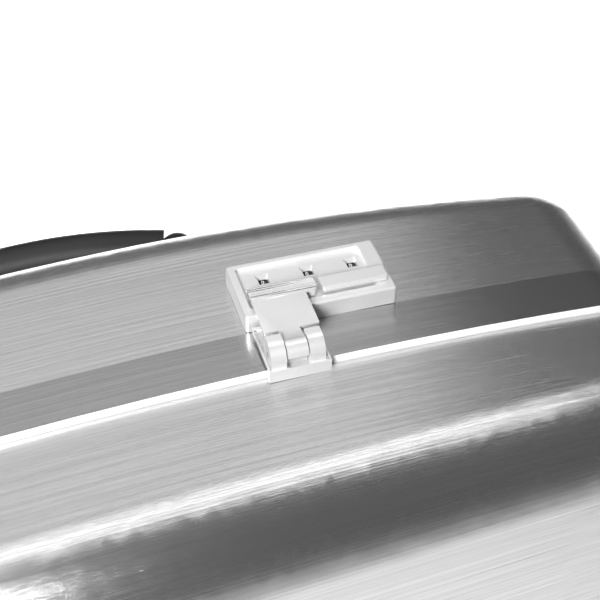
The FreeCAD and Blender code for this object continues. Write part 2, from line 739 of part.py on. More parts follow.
def hasp(tag):
    """Lever: sloping plate, ribbed grip bar, hook, and knuckle round the pin."""
    plate = polygon_pad("hasp_plate_" + tag, "YZ_Plane", [
        ("hasp_front", "bar_top - 0.6"),
        ("hasp_front", "bar_top - 0.6 - hasp_thick"),
        ("-11", "bar_top - hasp_thick"),
        ("-11", "bar_top"),
    ], "hasp_left", "hasp_right - hasp_left")
    plate = rounded("hasp_plate_soft_" + tag, plate, 0.4, lambda e: (
        e.BoundBox.XLength < 0.01 and e.BoundBox.YLength < 0.01
        and e.BoundBox.YMax < -25))
    grip = polygon_pad("hasp_grip_" + tag, "YZ_Plane", [
        ("-12.2", "bar_low"),
        ("-3.6", "bar_low"),
        ("-3.6", "bar_top - 0.5"),
        ("-4.2", "bar_top"),
        ("-12.2", "bar_top"),
    ], "hasp_left + 0.3", "hasp_right - hasp_left + 5.4")
    grip = rounded("hasp_grip_soft_" + tag, grip, 2.5, lambda e: (
        e.BoundBox.XLength < 0.01 and e.BoundBox.YLength < 0.01
        and e.BoundBox.XMax > -5))
    hook = box("hasp_hook_" + tag, -16, -10, -9.6, -5.4, 1.5, 9.2)
    knuckle = rod("hasp_knuckle_" + tag, "x", -23.9, "pivot_y", "pivot_z",
                  "knuckle_radius", 9)
    neck = polygon_pad("hasp_neck_" + tag, "YZ_Plane", [
        ("pivot_y", "pivot_z + knuckle_radius"),
        ("pivot_y", "pivot_z"),
        ("pivot_y + 3.2", "pivot_z - 1.4"),
        ("hasp_front + 1", "bar_top - 0.6 - hasp_thick"),
        ("hasp_front + 3", "bar_top - 0.55"),
        ("hasp_front", "bar_top - 0.6"),
    ], "-23.9", "9")
    whole = fuse("hasp_whole_" + tag, [plate, grip, hook, knuckle, neck])
    tools = [
        rod("hasp_bore_" + tag, "x", -35, "pivot_y", "pivot_z", "pivot_pin + 0.05", 35),
        box("hasp_catch_" + tag, -13, -9, -12, -4, 2.2, 5.4),
        box("hasp_curl_" + tag, -25, -14, -50, "pivot_y - 2.6", 0, "pivot_z + 0.2"),
    ]
    for i in range(7):
        y = -11.3 + i * 1.1
        tools.append(box("hasp_rib_%s_%d" % (tag, i), -32, 2, y, y + 0.4,
                         "bar_top - 0.4", "bar_top + 1"))
    return cut("hasp_" + tag, whole, tools)


def keeper(tag):
    """Tray on the front shell with two ears that carry the lever pin."""
    foot = box("keeper_foot_" + tag, -32, -5.5, "keeper_front", -43.1,
               "0.05 - front_step", 4.2)
    tray = box("keeper_tray_" + tag, -32, -5.5, "keeper_front", -19, 2.4, 4.2)
    tray = rounded("keeper_tray_soft_" + tag, tray, 1.2, lambda e: (
        upright(e) and e.BoundBox.YMax > -20))
    sump = box("keeper_sump_" + tag, -25, -14, -45.8, -32.6, 1.55, 3)
    ears = []
    for i, (x0, x1) in enumerate(((-31, -24.4), (-14.4, -7.9))):
        name = "%s_%d" % (tag, i)
        ears.append(rod("ear_round_" + name, "x", x0, "ear_y", "ear_z",
                        "ear_radius", x1 - x0))
        ears.append(box("ear_leg_" + name, x0, x1, "ear_y - ear_radius", "ear_back",
                        3, "ear_z"))
        ears.append(box("ear_top_" + name, x0, x1, "ear_y", "ear_back",
                        "ear_z - 1", "ear_z + ear_radius"))
    whole = fuse("keeper_whole_" + tag, [foot, tray, sump] + ears)
    tools = [
        box("keeper_pan_" + tag, -31.2, -6.3, "ear_back", -20.4, 3.2, 9),
        box("keeper_slot_" + tag, -24.4, -14.4, -45.25, -33.2, 1.95, 16),
        box("ear_behind_" + tag, -33, -4, "ear_back", -20, 4.2, 16),
        box("ear_below_" + tag, -33, -4, -43.05, -25, -5, 1.55),
        box("keeper_groove_" + tag, -31.3, -31, -45.2, -20.4, 3.2, 9),
        box("keeper_ledge_" + tag, -7.9, -6.3, -45.2, -20.4, 3.2, 9),
        rod("keeper_bore_" + tag, "x", -35, "pivot_y", "pivot_z", "pivot_pin", 35),
    ]
    for i, x in enumerate(RIVET_X):
        tools.append(rod("keeper_rivet_room_%s_%d" % (tag, i), "z", x, RIVET_Y, -5,
                         0.9, 7.5))
    return cut("keeper_" + tag, whole, tools)


for word, side in SIDES:
    seat = latch_seat(side)
    keep("lock_housing_" + word, lock_housing(word), seat)
    keep("lock_base_" + word, lock_base(word), seat)
    for i in (-1, 0, 1):
        keep("dial_%s_%d" % (word, i + 2), dial("%s_%d" % (word, i + 2), i), seat)
    keep("release_slide_" + word, release_slide(word), seat)
    keep("lock_bolt_" + word, lock_bolt(word), seat)
    keep("slide_spring_" + word, slide_spring(word), seat)
    keep("hasp_" + word, hasp(word), seat)
    pin = rod("hasp_pin_rod_" + word, "x", -31, "pivot_y", "pivot_z", "pivot_pin", 23.1)
    keep("hasp_pin_" + word, pin, seat)
    keep("keeper_" + word, keeper(word), seat)
    for i, x in enumerate(SCREW_X):
        name = "lock_screw_%s_%d" % (word, i + 1)
        shank = rod(name + "_shank", "z", x, SCREW_Y, -7.1, 1.3, 12.4)
        head = rod(name + "_head", "z", x, SCREW_Y, -7.1, 2.4, 1.8)
        keep(name, fuse(name + "_whole", [shank, head]), seat)
    for i, x in enumerate(RIVET_X):
        name = "keeper_rivet_%s_%d" % (word, i + 1)
        shank = rod(name + "_shank", "z", x, RIVET_Y, -10.3, 0.9, 12.8)
        head = rod(name + "_head", "z", x, RIVET_Y, -10.3, 2.2, 1.6)
        keep(name, fuse(name + "_whole", [shank, head]), seat)

# ----------------------------------------------------------------------- handle
HANDLE_Y = "back_depth + handle_stand"
HANDLE_Z = TOP - val("handle_drop")
GRIP_Y = val("back_depth + handle_stand + handle_reach")
BOW_Y = GRIP_Y - val("grip_bow")
HALF_ANGLE = math.degrees(math.asin(val("handle_half / grip_bow")))
GRIP_ANGLE = math.degrees(math.asin(val("(handle_half - 7) / grip_bow")))
END_Y = BOW_Y + val("grip_bow") * math.cos(math.radians(HALF_ANGLE))
PIVOT = V(0, val(HANDLE_Y), HANDLE_Z)
TILT = FreeCAD.Placement(V(), FreeCAD.Rotation(V(1, 0, 0), val("handle_tilt")), PIVOT)


def bow(name, tube, half_angle):
    """Round bar bent to the bow of the grip."""
    made = doc.addObject("Part::Torus", name)
    bind(made, "Radius1", "grip_bow")
    bind(made, "Radius2", tube)
    made.Angle3 = 2 * half_angle
    turn = FreeCAD.Rotation(V(0, 0, 1), 90 - half_angle)
    made.Placement = FreeCAD.Placement(V(0, BOW_Y, HANDLE_Z), turn)
    return made


core = [bow("core_bow", "core_radius", HALF_ANGLE)]
bores = []
for word, side in SIDES:
    x = side * val("handle_half")
    core.append(ball("core_end_" + word, x, END_Y, HANDLE_Z, "grip_radius - 1"))
    core.append(rod("core_arm_" + word, "y", x, HANDLE_Y + " + 1", HANDLE_Z, 5.6,
                    END_Y - val("back_depth + handle_stand") - 1))
    core.append(rod("core_eye_" + word, "x", x - 6, HANDLE_Y, HANDLE_Z,
                    6.2, 12))
    bores.append(rod("core_bore_" + word, "x", x - 8, HANDLE_Y, HANDLE_Z,
                     3.05, 16))
core_body = in_turn("Fuse", "core_body", core[0], core[1:])
keep("handle_core", in_turn("Cut", "handle_core_cut", core_body, bores), TILT)
sleeve = bow("grip_sleeve", "grip_radius", GRIP_ANGLE)
room_core = bow("grip_room", "core_radius", HALF_ANGLE)
room = [room_core]
for word, side in SIDES:
    room.append(ball("grip_room_end_" + word, side * val("handle_half"), END_Y,
                     HANDLE_Z, "grip_radius - 1"))
keep("handle_grip", cut("handle_grip_cut", sleeve, room), TILT)

for word, side in SIDES:
    x = side * val("handle_half")
    near, far = (x - 14, x + 14)
    radius = val("back_face_radius")

    def face_y(at):
        return val("back_depth") - radius + math.sqrt(radius ** 2 - at ** 2)

    plate = polygon_pad("bracket_plate_" + word, "XY_Plane", [
        (near, face_y(near) + 0.1),
        (far, face_y(far) + 0.1),
        (far, val("back_depth") + 1.6),
        (near, val("back_depth") + 1.6),
    ], HANDLE_Z - 17, "34")
    lugs = []
    for i, x0 in enumerate((x - 9.8, x + 6.3)):
        name = "%s_%d" % (word, i)
        lugs.append(box("lug_" + name, x0, x0 + 3.5, "back_depth",
                        HANDLE_Y, HANDLE_Z - 6.5, HANDLE_Z + 6.5))
        lugs.append(rod("lug_round_" + name, "x", x0, HANDLE_Y, HANDLE_Z,
                        6.5, 3.5))
    whole = fuse("bracket_whole_" + word, [plate] + lugs)
    tools = [rod("bracket_bore_" + word, "x", x - 12, HANDLE_Y, HANDLE_Z, 3, 24)]
    for i, dz in enumerate((-BRACKET_SCREW_Z, BRACKET_SCREW_Z)):
        tools.append(rod("bracket_screw_room_%s_%d" % (word, i), "y", x,
                         "back_depth - 5", HANDLE_Z + dz, 1.8, 12))
    keep("handle_bracket_" + word, cut("bracket_cut_" + word, whole, tools))
    pin = rod("handle_pin_rod_" + word, "x", x - 9.8, HANDLE_Y, HANDLE_Z, 3, 19.6)
    keep("handle_pin_" + word, pin)
    for i, dz in enumerate((-BRACKET_SCREW_Z, BRACKET_SCREW_Z)):
        name = "bracket_screw_%s_%d" % (word, i + 1)
        shank = rod(name + "_shank", "y", x, "back_depth - 6.5", HANDLE_Z + dz, 1.8, 8.2)
        head = rod(name + "_head", "y", x, "back_depth + 1.6", HANDLE_Z + dz, 3.2, 1.6)
        nut = rod(name + "_nut", "y", x, "back_depth - 6.5", HANDLE_Z + dz, 3.4, 2.4)
        keep(name, fuse(name + "_whole", [shank, head, nut]))

# ----------------------------------------------------------------- build and save
doc.recompute()
for obj in doc.Objects:
    if "Invalid" in obj.State or "Error" in obj.State:
        raise RuntimeError("%s did not build: %s" % (obj.Name, obj.State))
for obj in KEPT:
    if obj.Shape.isNull() or not obj.Shape.isValid():
        raise RuntimeError("%s has a bad shape" % obj.Label)

os.makedirs("parts", exist_ok=True)
for obj in KEPT:
    obj.Shape.exportStep("parts/%s.step" % obj.Label)
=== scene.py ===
# %% [markdown]
# # A brushed-aluminium travel case
#
# The frame of this model comes from CAD: every rigid part is already there, at its
# real size, in metres. This lesson gives the parts their finishes, rounds the edges
# that catch the light, adds the small pieces that CAD left out, and sets up a plain
# studio to look at them in.

import bmesh
import bpy
import json
import math
from mathutils import Matrix, Vector


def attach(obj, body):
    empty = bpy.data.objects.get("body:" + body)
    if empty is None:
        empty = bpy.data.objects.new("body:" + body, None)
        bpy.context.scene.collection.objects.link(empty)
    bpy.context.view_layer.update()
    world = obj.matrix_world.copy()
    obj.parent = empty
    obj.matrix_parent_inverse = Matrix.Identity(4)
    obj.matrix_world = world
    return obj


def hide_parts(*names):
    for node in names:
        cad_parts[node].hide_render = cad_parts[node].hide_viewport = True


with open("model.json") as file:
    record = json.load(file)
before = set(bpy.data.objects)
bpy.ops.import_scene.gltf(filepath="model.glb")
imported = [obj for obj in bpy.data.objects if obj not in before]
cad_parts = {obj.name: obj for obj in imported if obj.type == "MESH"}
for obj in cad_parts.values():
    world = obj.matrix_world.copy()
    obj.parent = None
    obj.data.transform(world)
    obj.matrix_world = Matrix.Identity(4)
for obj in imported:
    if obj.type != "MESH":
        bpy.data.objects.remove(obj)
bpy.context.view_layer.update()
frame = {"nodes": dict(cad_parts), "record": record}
nodes = frame["nodes"]

# %% [markdown]
# ## Where a latch sits
#
# The top side of the case is gently crowned, so each latch leans outward a little.
# One matrix per latch turns a place measured on the latch (millimetres from the
# middle of the lock housing's underside) into a place on the case.

# %% The seats of the two latches
MM = 0.001
CROWN_RADIUS = 1750 * MM
LATCH_OFFSET = 125 * MM
SEAM_Y = -44.27 * MM
LATCH_SEAT = 41.5 * MM
TOP = 390 * MM
LEAN = math.asin(LATCH_OFFSET / CROWN_RADIUS)
SIDES = {"left": -1, "right": 1}


def latch_matrix(word):
    side = SIDES[word]
    drop = CROWN_RADIUS * (1 - math.cos(LEAN))
    place = Vector((side * LATCH_OFFSET, SEAM_Y + LATCH_SEAT, TOP - drop))
    return Matrix.Translation(place) @ Matrix.Rotation(side * LEAN, 4, "Y")


def on_latch(word, x, y, z):
    return latch_matrix(word) @ Vector((x * MM, y * MM, z * MM))


print("right latch at", [round(v, 4) for v in on_latch("right", 0, 0, 0)])

# %% [markdown]
# ## The camera
#
# The camera looks down on the right latch from the front left, with a long lens so
# that the case keeps its proportions. Its place is given on the latch too, because
# everything that matters in the picture is measured from there.

# %% Camera on the right latch
CAMERA_AZIMUTH = math.radians(-18.293)
CAMERA_ELEVATION = math.radians(42.572)
CAMERA_ROLL = math.radians(1.273)
CAMERA_DISTANCE = 521.6
CAMERA_TARGET = (-5.91, -3.85, 0.0)

back = Vector((math.sin(CAMERA_AZIMUTH) * math.cos(CAMERA_ELEVATION),
               -math.cos(CAMERA_AZIMUTH) * math.cos(CAMERA_ELEVATION),
               math.sin(CAMERA_ELEVATION)))
right = Vector((math.cos(CAMERA_AZIMUTH), math.sin(CAMERA_AZIMUTH), 0))
up = back.cross(right)
rolled_right = right * math.cos(CAMERA_ROLL) + up * math.sin(CAMERA_ROLL)
rolled_up = up * math.cos(CAMERA_ROLL) - right * math.sin(CAMERA_ROLL)
turn = Matrix((rolled_right, rolled_up, back)).transposed().to_4x4()
place = Matrix.Translation((Vector(CAMERA_TARGET) + back * CAMERA_DISTANCE) * MM)

camera_data = bpy.data.cameras.new("camera")
camera_data.lens = 72
camera_data.sensor_width = 36
camera_data.clip_start = 0.01
camera = bpy.data.objects.new("camera", camera_data)
bpy.context.scene.collection.objects.link(camera)
camera.matrix_world = latch_matrix("right") @ place @ turn
bpy.context.scene.camera = camera
print("camera at", [round(v, 3) for v in camera.location])

# %% [markdown]
# ## Material tools
#
# A shader group is made like a small machine with named sockets. The helpers below
# only save typing: one makes an empty group, one makes a node and fills in its
# settings, one draws a link.

# %% Helpers for node materials
FLOAT = "NodeSocketFloat"
VECTOR = "NodeSocketVector"
COLOUR = "NodeSocketColor"


def new_group(name, inputs, outputs):
    """Empty shader group; inputs are (name, kind, default), outputs (name, kind)."""
    group = bpy.data.node_groups.new(name, "ShaderNodeTree")
    for label, kind, default in inputs:
        socket = group.interface.new_socket(label, in_out="INPUT", socket_type=kind)
        socket.default_value = default
    for label, kind in outputs:
        group.interface.new_socket(label, in_out="OUTPUT", socket_type=kind)
    group.nodes.new("NodeGroupInput").name = "in"
    group.nodes.new("NodeGroupOutput").name = "out"
    return group


def node(tree, kind, links=(), **settings):
    """New node; links are (socket, source), settings its properties or, with i_,
    its input values."""
    made = tree.nodes.new(kind)
    for key, value in settings.items():
        if key.startswith("i_"):
            made.inputs[key[2:].replace("_", " ")].default_value = value
        else:
            setattr(made, key, value)
    for socket, source in links:
        tree.links.new(source, made.inputs[socket])
    return made


def put(tree, source, target):
    tree.links.new(source, target)


MIX_SOCKETS = {"FLOAT": (2, 3, 0), "VECTOR": (4, 5, 1), "RGBA": (6, 7, 2)}


def mix(tree, kind, factor, low, high):
    """Blend two sockets of one kind; returns the output socket."""
    made = node(tree, "ShaderNodeMix", [("Factor", factor)], data_type=kind)
    at_low, at_high, at_out = MIX_SOCKETS[kind]
    put(tree, low, made.inputs[at_low])
    put(tree, high, made.inputs[at_high])
    return made.outputs[at_out]


def new_material(name, colour, metallic):
    made = bpy.data.materials.new(name)
    made.use_nodes = True
    shader = made.node_tree.nodes["Principled BSDF"]
    shader.inputs["Base Color"].default_value = (*colour, 1)
    shader.inputs["Metallic"].default_value = metallic
    return made, made.node_tree, shader


# %% [markdown]
# ## Brushed metal
#
# A brushed sheet is full of fine parallel scratches. Seen as a whole they do two
# things: they leave streaks of slightly different brightness, and they smear every
# reflection across their own direction. The streaks are noise that is stretched
# along the scratches. The smear is the shader's anisotropy, which needs to know the
# direction, so the group also puts out a tangent: along the width of the case on
# its large sides, and upward on the two ends, as a belt sander would leave them.
# The case bulges, so the noise is read from coordinates in which the crown and the
# two faces are flat again; otherwise the bulge would chop the streaks into dashes.

# %% Group: brushed grain
FRONT_BULGE = 2.6
BACK_BULGE = 3.0
FRONT_START, FRONT_FULL = -0.07, -0.12
BACK_START, BACK_FULL = 0.035, 0.07
END_START, END_FULL = 0.6, 0.8
STREAK_LOW, STREAK_HIGH = 0.72, 1.28
BUMP_DISTANCE = 0.0002

brushed = new_group(
    "brushed_grain",
    [("Length", FLOAT, 0.12), ("Thickness", FLOAT, 0.001), ("Depth", FLOAT, 0.1),
     ("Rough Low", FLOAT, 0.25), ("Rough High", FLOAT, 0.4),
     ("Dark", COLOUR, (0.7, 0.7, 0.7, 1)), ("Light", COLOUR, (0.8, 0.8, 0.8, 1))],
    [("Color", COLOUR), ("Roughness", FLOAT), ("Normal", VECTOR),
     ("Tangent", VECTOR)])
g_in, g_out = brushed.nodes["in"], brushed.nodes["out"]
coords = node(brushed, "ShaderNodeTexCoord")
surface = node(brushed, "ShaderNodeNewGeometry")
facing = node(brushed, "ShaderNodeSeparateXYZ", [(0, surface.outputs["Normal"])])
size = node(brushed, "ShaderNodeMath", [(0, facing.outputs["X"])],
            operation="ABSOLUTE")
end_mask = node(brushed, "ShaderNodeMapRange", [("Value", size.outputs[0])],
                i_From_Min=END_START, i_From_Max=END_FULL)
along = node(brushed, "ShaderNodeMath", operation="DIVIDE")
along.inputs[0].default_value = 1.0
put(brushed, g_in.outputs["Length"], along.inputs[1])
across = node(brushed, "ShaderNodeMath", operation="DIVIDE")
across.inputs[0].default_value = 1.0
put(brushed, g_in.outputs["Thickness"], across.inputs[1])
stretch_top = node(brushed, "ShaderNodeCombineXYZ",
                   [("X", along.outputs[0]), ("Y", across.outputs[0]),
                    ("Z", across.outputs[0])])
stretch_end = node(brushed, "ShaderNodeCombineXYZ",
                   [("X", across.outputs[0]), ("Y", across.outputs[0]),
                    ("Z", along.outputs[0])])


def math_node(operation, first, second):
    """One sum on two sockets or numbers; returns its output."""
    made = node(brushed, "ShaderNodeMath", operation=operation)
    for i, value in enumerate((first, second)):
        if isinstance(value, float):
            made.inputs[i].default_value = value
        else:
            put(brushed, value, made.inputs[i])
    return made.outputs[0]


def bulge(y_from, y_to, curvature):
    """How much to add to y, per square metre of x, to flatten a bulging face."""
    made = node(brushed, "ShaderNodeMapRange", [("Value", where.outputs["Y"])],
                i_From_Min=y_from, i_From_Max=y_to, i_To_Max=curvature)
    return made.outputs["Result"]


where = node(brushed, "ShaderNodeSeparateXYZ", [(0, coords.outputs["Object"])])
x_squared = math_node("MULTIPLY", where.outputs["X"], where.outputs["X"])
flat_z = math_node("ADD", where.outputs["Z"],
                   math_node("MULTIPLY", x_squared, 0.5 / CROWN_RADIUS))
face_bulge = math_node("ADD", bulge(FRONT_START, FRONT_FULL, -0.5 / FRONT_BULGE),
                       bulge(BACK_START, BACK_FULL, 0.5 / BACK_BULGE))
flat_y = math_node("ADD", where.outputs["Y"],
                   math_node("MULTIPLY", x_squared, face_bulge))
unrolled = node(brushed, "ShaderNodeCombineXYZ",
                [("X", where.outputs["X"]), ("Y", flat_y), ("Z", flat_z)])


def grain_noise(stretch, scale):
    scaled = node(brushed, "ShaderNodeVectorMath",
                  [(0, unrolled.outputs[0]), (1, stretch.outputs[0])],
                  operation="MULTIPLY")
    return node(brushed, "ShaderNodeTexNoise", [("Vector", scaled.outputs[0])],
                i_Scale=scale, i_Detail=4.0, i_Roughness=0.62)


layers = []
for scale in (0.5, 1.6):
    top_noise = grain_noise(stretch_top, scale)
    end_noise = grain_noise(stretch_end, scale)
    layers.append(mix(brushed, "FLOAT", end_mask.outputs["Result"],
                      top_noise.outputs["Fac"], end_noise.outputs["Fac"]))
streaks = node(brushed, "ShaderNodeMath", [(0, layers[0]), (1, layers[1])],
               operation="ADD")
streaks = node(brushed, "ShaderNodeMapRange", [("Value", streaks.outputs[0])],
               i_From_Min=STREAK_LOW, i_From_Max=STREAK_HIGH)
tint = mix(brushed, "RGBA", streaks.outputs["Result"], g_in.outputs["Dark"],
           g_in.outputs["Light"])
slope = node(brushed, "ShaderNodeMapRange", [("Value", streaks.outputs["Result"])])
put(brushed, g_in.outputs["Rough High"], slope.inputs["To Min"])
put(brushed, g_in.outputs["Rough Low"], slope.inputs["To Max"])
bump = node(brushed, "ShaderNodeBump", [("Strength", g_in.outputs["Depth"]),
                                        ("Height", streaks.outputs["Result"])],
            i_Distance=BUMP_DISTANCE)
level = node(brushed, "ShaderNodeCombineXYZ", i_X=1.0)
upward = node(brushed, "ShaderNodeCombineXYZ", i_Z=1.0)
tangent = mix(brushed, "VECTOR", end_mask.outputs["Result"], level.outputs[0],
              upward.outputs[0])
put(brushed, tint, g_out.inputs["Color"])
put(brushed, slope.outputs["Result"], g_out.inputs["Roughness"])
put(brushed, bump.outputs["Normal"], g_out.inputs["Normal"])
put(brushed, tangent, g_out.inputs["Tangent"])
print("brushed grain has", len(brushed.nodes), "nodes")

# %% [markdown]
# ## Satin metal and fine grain
#
# The latches are die-cast and bead-blasted: paler than the sheet, with no direction.
# Plastic, rubber and cloth have a fine grain as well, only with other depths. One
# group with a noise at two sizes serves all of them.

# %% Group: fine grain
fine = new_group(
    "fine_grain",
    [("Scale", FLOAT, 800.0), ("Depth", FLOAT, 0.1), ("Rough Low", FLOAT, 0.4),
     ("Rough High", FLOAT, 0.5), ("Dark", COLOUR, (0.7, 0.7, 0.7, 1)),
     ("Light", COLOUR, (0.8, 0.8, 0.8, 1))],
    [("Color", COLOUR), ("Roughness", FLOAT), ("Normal", VECTOR)])
f_in, f_out = fine.nodes["in"], fine.nodes["out"]
coords = node(fine, "ShaderNodeTexCoord")
SPECK_LOW, SPECK_HIGH = 0.7, 1.3
speck = node(fine, "ShaderNodeTexNoise", [("Vector", coords.outputs["Object"]),
                                          ("Scale", f_in.outputs["Scale"])],
             i_Detail=3.0)
cloud = node(fine, "ShaderNodeTexNoise", [("Vector", coords.outputs["Object"])],
             i_Scale=45.0, i_Detail=3.0)
both = node(fine, "ShaderNodeMath", [(0, speck.outputs["Fac"]),
                                     (1, cloud.outputs["Fac"])], operation="ADD")
spread = node(fine, "ShaderNodeMapRange", [("Value", both.outputs[0])],
              i_From_Min=SPECK_LOW, i_From_Max=SPECK_HIGH)
tint = mix(fine, "RGBA", spread.outputs["Result"], f_in.outputs["Dark"],
           f_in.outputs["Light"])
slope = node(fine, "ShaderNodeMapRange", [("Value", spread.outputs["Result"]),
                                          ("To Min", f_in.outputs["Rough Low"]),
                                          ("To Max", f_in.outputs["Rough High"])])
bump = node(fine, "ShaderNodeBump", [("Strength", f_in.outputs["Depth"]),
                                     ("Height", speck.outputs["Fac"])],
            i_Distance=BUMP_DISTANCE)
put(fine, tint, f_out.inputs["Color"])
put(fine, slope.outputs["Result"], f_out.inputs["Roughness"])
put(fine, bump.outputs["Normal"], f_out.inputs["Normal"])
print("fine grain has", len(fine.nodes), "nodes")

# %% [markdown]
# ## The finishes
#
# Every material slot of the record gets one material. The numbers that are the same
# all over a surface, such as anisotropy, sit on the shader's own sockets. What
# changes over the surface comes from one of the two groups.

# %% One material per slot
def shade(value, warm=0.0):
    return (value + warm, value, value - warm, 1)


def brushed_metal(name, dark, light, low, high, length, thickness, depth, aniso):
    made, tree, shader = new_material(name, shade(light)[:3], 1.0)
    shader.inputs["Anisotropic"].default_value = aniso
    shader.inputs["Anisotropic Rotation"].default_value = 0.25
    grain = node(tree, "ShaderNodeGroup", node_tree=brushed, i_Length=length,
                 i_Thickness=thickness, i_Depth=depth, i_Rough_Low=low,
                 i_Rough_High=high, i_Dark=shade(dark), i_Light=shade(light))
    put(tree, grain.outputs["Color"], shader.inputs["Base Color"])
    put(tree, grain.outputs["Roughness"], shader.inputs["Roughness"])
    put(tree, grain.outputs["Normal"], shader.inputs["Normal"])
    put(tree, grain.outputs["Tangent"], shader.inputs["Tangent"])
    return made


def grained(name, dark, light, low, high, scale, depth, metallic=0.0, warm=0.0):
    made, tree, shader = new_material(name, shade(light, warm)[:3], metallic)
    grain = node(tree, "ShaderNodeGroup", node_tree=fine, i_Scale=scale, i_Depth=depth,
                 i_Rough_Low=low, i_Rough_High=high, i_Dark=shade(dark, warm),
                 i_Light=shade(light, warm))
    put(tree, grain.outputs["Color"], shader.inputs["Base Color"])
    put(tree, grain.outputs["Roughness"], shader.inputs["Roughness"])
    put(tree, grain.outputs["Normal"], shader.inputs["Normal"])
    return made


FINISHES = {
    "brushed_shell": brushed_metal("brushed_shell", 0.6, 0.82, 0.2, 0.28,
                                   0.16, 0.0006, 0.15, 0.75),
    # rim_metal is the shell's brushed metal with a darker tone. This is painted shade
    # for the rim band, whose tilted face looks darker.
    "rim_metal": brushed_metal("rim_metal", 0.46, 0.56, 0.2, 0.27,
                               0.14, 0.0006, 0.15, 0.75),
    "latch_metal": grained("latch_metal", 0.74, 0.82, 0.3, 0.37, 2600, 0.12, 0.62),
    "hinge_steel": grained("hinge_steel", 0.5, 0.58, 0.25, 0.4, 900, 0.1, 1.0),
    "screw_steel": grained("screw_steel", 0.55, 0.62, 0.2, 0.35, 1500, 0.1, 1.0),
    "black_metal": grained("black_metal", 0.012, 0.02, 0.3, 0.42, 1200, 0.15),
    "grip_black": grained("grip_black", 0.006, 0.012, 0.45, 0.6, 1800, 0.4),
    "dial_black": grained("dial_black", 0.012, 0.02, 0.35, 0.5, 2500, 0.1),
    "gasket_rubber": grained("gasket_rubber", 0.015, 0.025, 0.6, 0.75, 900, 0.3),
    "foot_rubber": grained("foot_rubber", 0.015, 0.025, 0.6, 0.75, 900, 0.3),
    "lining_cloth": grained("lining_cloth", 0.05, 0.08, 0.8, 0.95, 1500, 0.6),
}
# The polished lip's bright line is painted: a near-white, mostly non-metallic colour
# stands in for the highlight that its polished face would reflect.
POLISHED_PAINTED_HIGHLIGHT = grained("polished_edge", 0.94, 0.98, 0.3, 0.4, 1500, 0.05, 0.3)
WHITE_INK = grained("white_ink", 0.75, 0.85, 0.5, 0.6, 3000, 0.1)

record = frame["record"]
slot_of = {row["node"]: row["material_slot"] for row in record["subparts"]}
body_of = {name: body for body, names in record["behaviour"]["bodies"].items()
           for name in names}
for name, obj in nodes.items():
    obj.data.materials.clear()
    obj.data.materials.append(FINISHES[slot_of[name]])
print(len(nodes), "nodes in", len(FINISHES), "finishes")

# %% [markdown]
# ## Edges that catch the light
#
# No metal part has a perfectly sharp edge: it is tumbled, filed or polished, and
# the thin line of light along it is what makes it look like metal. CAD leaves most
# small edges sharp. So each visible metal part is copied, its loose triangles are
# merged back into one mesh, flat regions are joined into single faces, and every
# sharp edge gets a narrow bevel. The copy then stands for the CAD node.

# %% Helper: a copy with rounded edges
SHARP = math.radians(28)
NEARLY_FLAT = math.radians(0.4)
CREASE = math.radians(40)
MERGE_DISTANCE = 0.000004
TINY_EDGE = 0.000001
LIP_DEPTH = 0.0009


def link_piece(name, mesh):
    obj = bpy.data.objects.new(name, mesh)
    bpy.context.scene.collection.objects.link(obj)
    return obj


def refined(name, width, segments=2, polish_and_highlight=None):
    """Copy of a CAD node with rounded edges; the optional face test picks the faces
    that get the polished finish, whose near-white colour is a painted highlight.
    """
    work = bmesh.new()
    work.from_mesh(nodes[name].data)
    bmesh.ops.remove_doubles(work, verts=work.verts, dist=MERGE_DISTANCE)
    bmesh.ops.dissolve_limit(work, angle_limit=NEARLY_FLAT, verts=work.verts,
                             edges=work.edges, use_dissolve_boundaries=False)
    sharp = [e for e in work.edges if len(e.link_faces) == 2
             and e.calc_face_angle(0) > SHARP]
    bmesh.ops.bevel(work, geom=sharp, offset=width, offset_type="OFFSET",
                    affect="EDGES", segments=segments, profile=0.5, material=-1,
                    clamp_overlap=True, loop_slide=True)
    bmesh.ops.triangulate(work, faces=[f for f in work.faces if len(f.verts) > 4])
    bmesh.ops.dissolve_degenerate(work, edges=work.edges, dist=TINY_EDGE)
    for face in work.faces:
        face.smooth = True
        if polish_and_highlight and polish_and_highlight(face):
            face.material_index = 1
    mesh = bpy.data.meshes.new(name + "_fine")
    work.to_mesh(mesh)
    work.free()
    mesh.set_sharp_from_angle(angle=CREASE)
    mesh.materials.append(FINISHES[slot_of[name]])
    if polish_and_highlight:
        # The second slot holds the polished finish with its painted highlight.
        mesh.materials.append(POLISHED_PAINTED_HIGHLIGHT)
    obj = link_piece(name + "_fine", mesh)
    harden = obj.modifiers.new("weighted", "WEIGHTED_NORMAL")
    harden.keep_sharp = True
    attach(obj, body_of[name])
    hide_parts(name)
    return obj


def on_lip(face):
    """The narrow face of the rim that looks at the seam, and its rounded edge."""
    middle = face.calc_center_median()
    return middle.y < SEAM_Y + LIP_DEPTH and face.normal.y < -0.2


# %% The metal parts
refined("back_shell", 0.0003)
refined("front_shell", 0.0004)
# The rim's lip faces get the polished finish with its painted highlight.
refined("back_rim_frame", 0.0006, 3, on_lip)
for word in SIDES:
    for name, width in (("lock_housing_", 0.00028), ("release_slide_", 0.0003),
                        ("hasp_", 0.00028), ("keeper_", 0.00025),
                        ("hinge_leaf_back_", 0.0003), ("hinge_leaf_front_", 0.0003),
                        ("handle_bracket_", 0.0004)):
        made = refined(name + word, width)
        print(made.name, len(made.data.polygons), "faces")

# %% [markdown]
# ## Cloth and rubber
#
# Each half is lined with glued cloth, and a rubber seal lies in the rim. Cloth and
# rubber have no hard corners either, so they are copied and rounded in the same way,
# a little more generously than the metal.

# %% The linings and the seal
for name, width in (("back_lining", 0.0005), ("front_lining", 0.0005),
                    ("rim_gasket", 0.0003)):
    made = refined(name, width)
    print(made.name, len(made.data.polygons), "faces")

